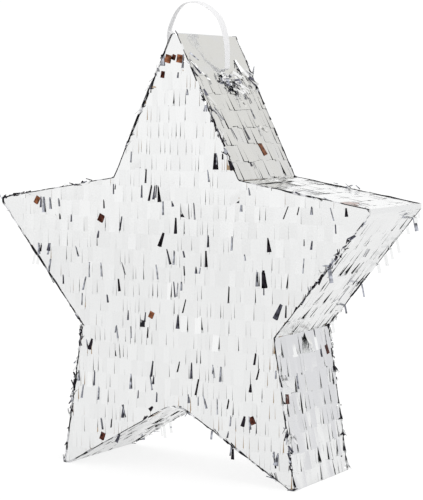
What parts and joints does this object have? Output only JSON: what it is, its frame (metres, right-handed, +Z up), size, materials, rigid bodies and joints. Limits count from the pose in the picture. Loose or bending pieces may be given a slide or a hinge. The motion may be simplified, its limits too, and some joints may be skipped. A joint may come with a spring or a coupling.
{
  "type": "star pinata",
  "caption": "Hollow five-pointed star pinata of taped card, covered in rows of silver foil fringe, with a ribbon hanging loop on the top arm and a filler door in the back.",
  "frame": {"origin": "on the surface that the star stands on, under the middle of the star and halfway through its depth", "axes": "+Z up along the top arm, +X towards the right arm as seen from the front, -Y is the front"},
  "size_m": [0.32, 0.088, 0.3569],
  "materials": {
    "card": "matt",
    "tape": "satin",
    "foil": "mirror-like metallised film",
    "ribbon": "satin"
  },
  "bodies": {
    "star": {"front_panel": "card", "back_panel": "card", "top_wall_right": "card", "shoulder_wall_right": "card", "arm_wall_right": "card", "leg_wall_outer_right": "card", "leg_wall_inner_right": "card", "leg_wall_inner_left": "card", "leg_wall_outer_left": "card", "arm_wall_left": "card", "shoulder_wall_left": "card", "top_wall_left": "card", "crotch_wall": "card", "front_seam_tape": "tape", "back_seam_tape": "tape", "shoulder_tape_right": "tape", "waist_tape_right": "tape", "waist_tape_left": "tape", "shoulder_tape_left": "tape", "door_hinge_tape": "tape", "slot_patch_right": "card", "slot_patch_left": "card", "loop_tail_right": "ribbon", "loop_tail_left": "ribbon", "loop_knot": "ribbon", "top_wrap": "foil", "arm_wrap_right": "foil", "arm_wrap_left": "foil", "foot_wrap_right": "foil", "foot_wrap_left": "foil", "top_fringe_right": "foil", "shoulder_fringe_right": "foil", "arm_fringe_right": "foil", "leg_fringe_outer_right": "foil", "leg_fringe_inner_right": "foil", "leg_fringe_inner_left": "foil", "leg_fringe_outer_left": "foil", "arm_fringe_left": "foil", "shoulder_fringe_left": "foil", "top_fringe_left": "foil", "crotch_fringe": "foil", "front_fringe_top": "foil", "front_fringe_shoulders": "foil", "front_fringe_chest": "foil", "front_fringe_waist": "foil", "front_fringe_leg_right": "foil", "front_fringe_leg_left": "foil", "back_fringe_top": "foil", "back_fringe_shoulders": "foil", "back_fringe_chest": "foil", "back_fringe_waist": "foil", "back_fringe_leg_right": "foil", "back_fringe_leg_left": "foil"},
    "door": {"filler_door": "card", "door_hinge_leaf": "tape", "door_fringe": "foil"},
    "loop": {"hanging_loop": "ribbon"}
  },
  "joints": [
    {"name": "filler_door_hinge", "type": "hinge", "parent": "star", "child": "door", "pos_m": [0, 0.043, 0.18], "axis": [1, 0, 0], "range_deg": [0, 110]},
    {"name": "loop_swing", "type": "hinge", "parent": "star", "child": "loop", "pos_m": [0, 0.003, 0.305], "axis": [1, 0, 0], "range_deg": [-45, 45], "stiffness_Nm_per_rad": 0.002}
  ]
}
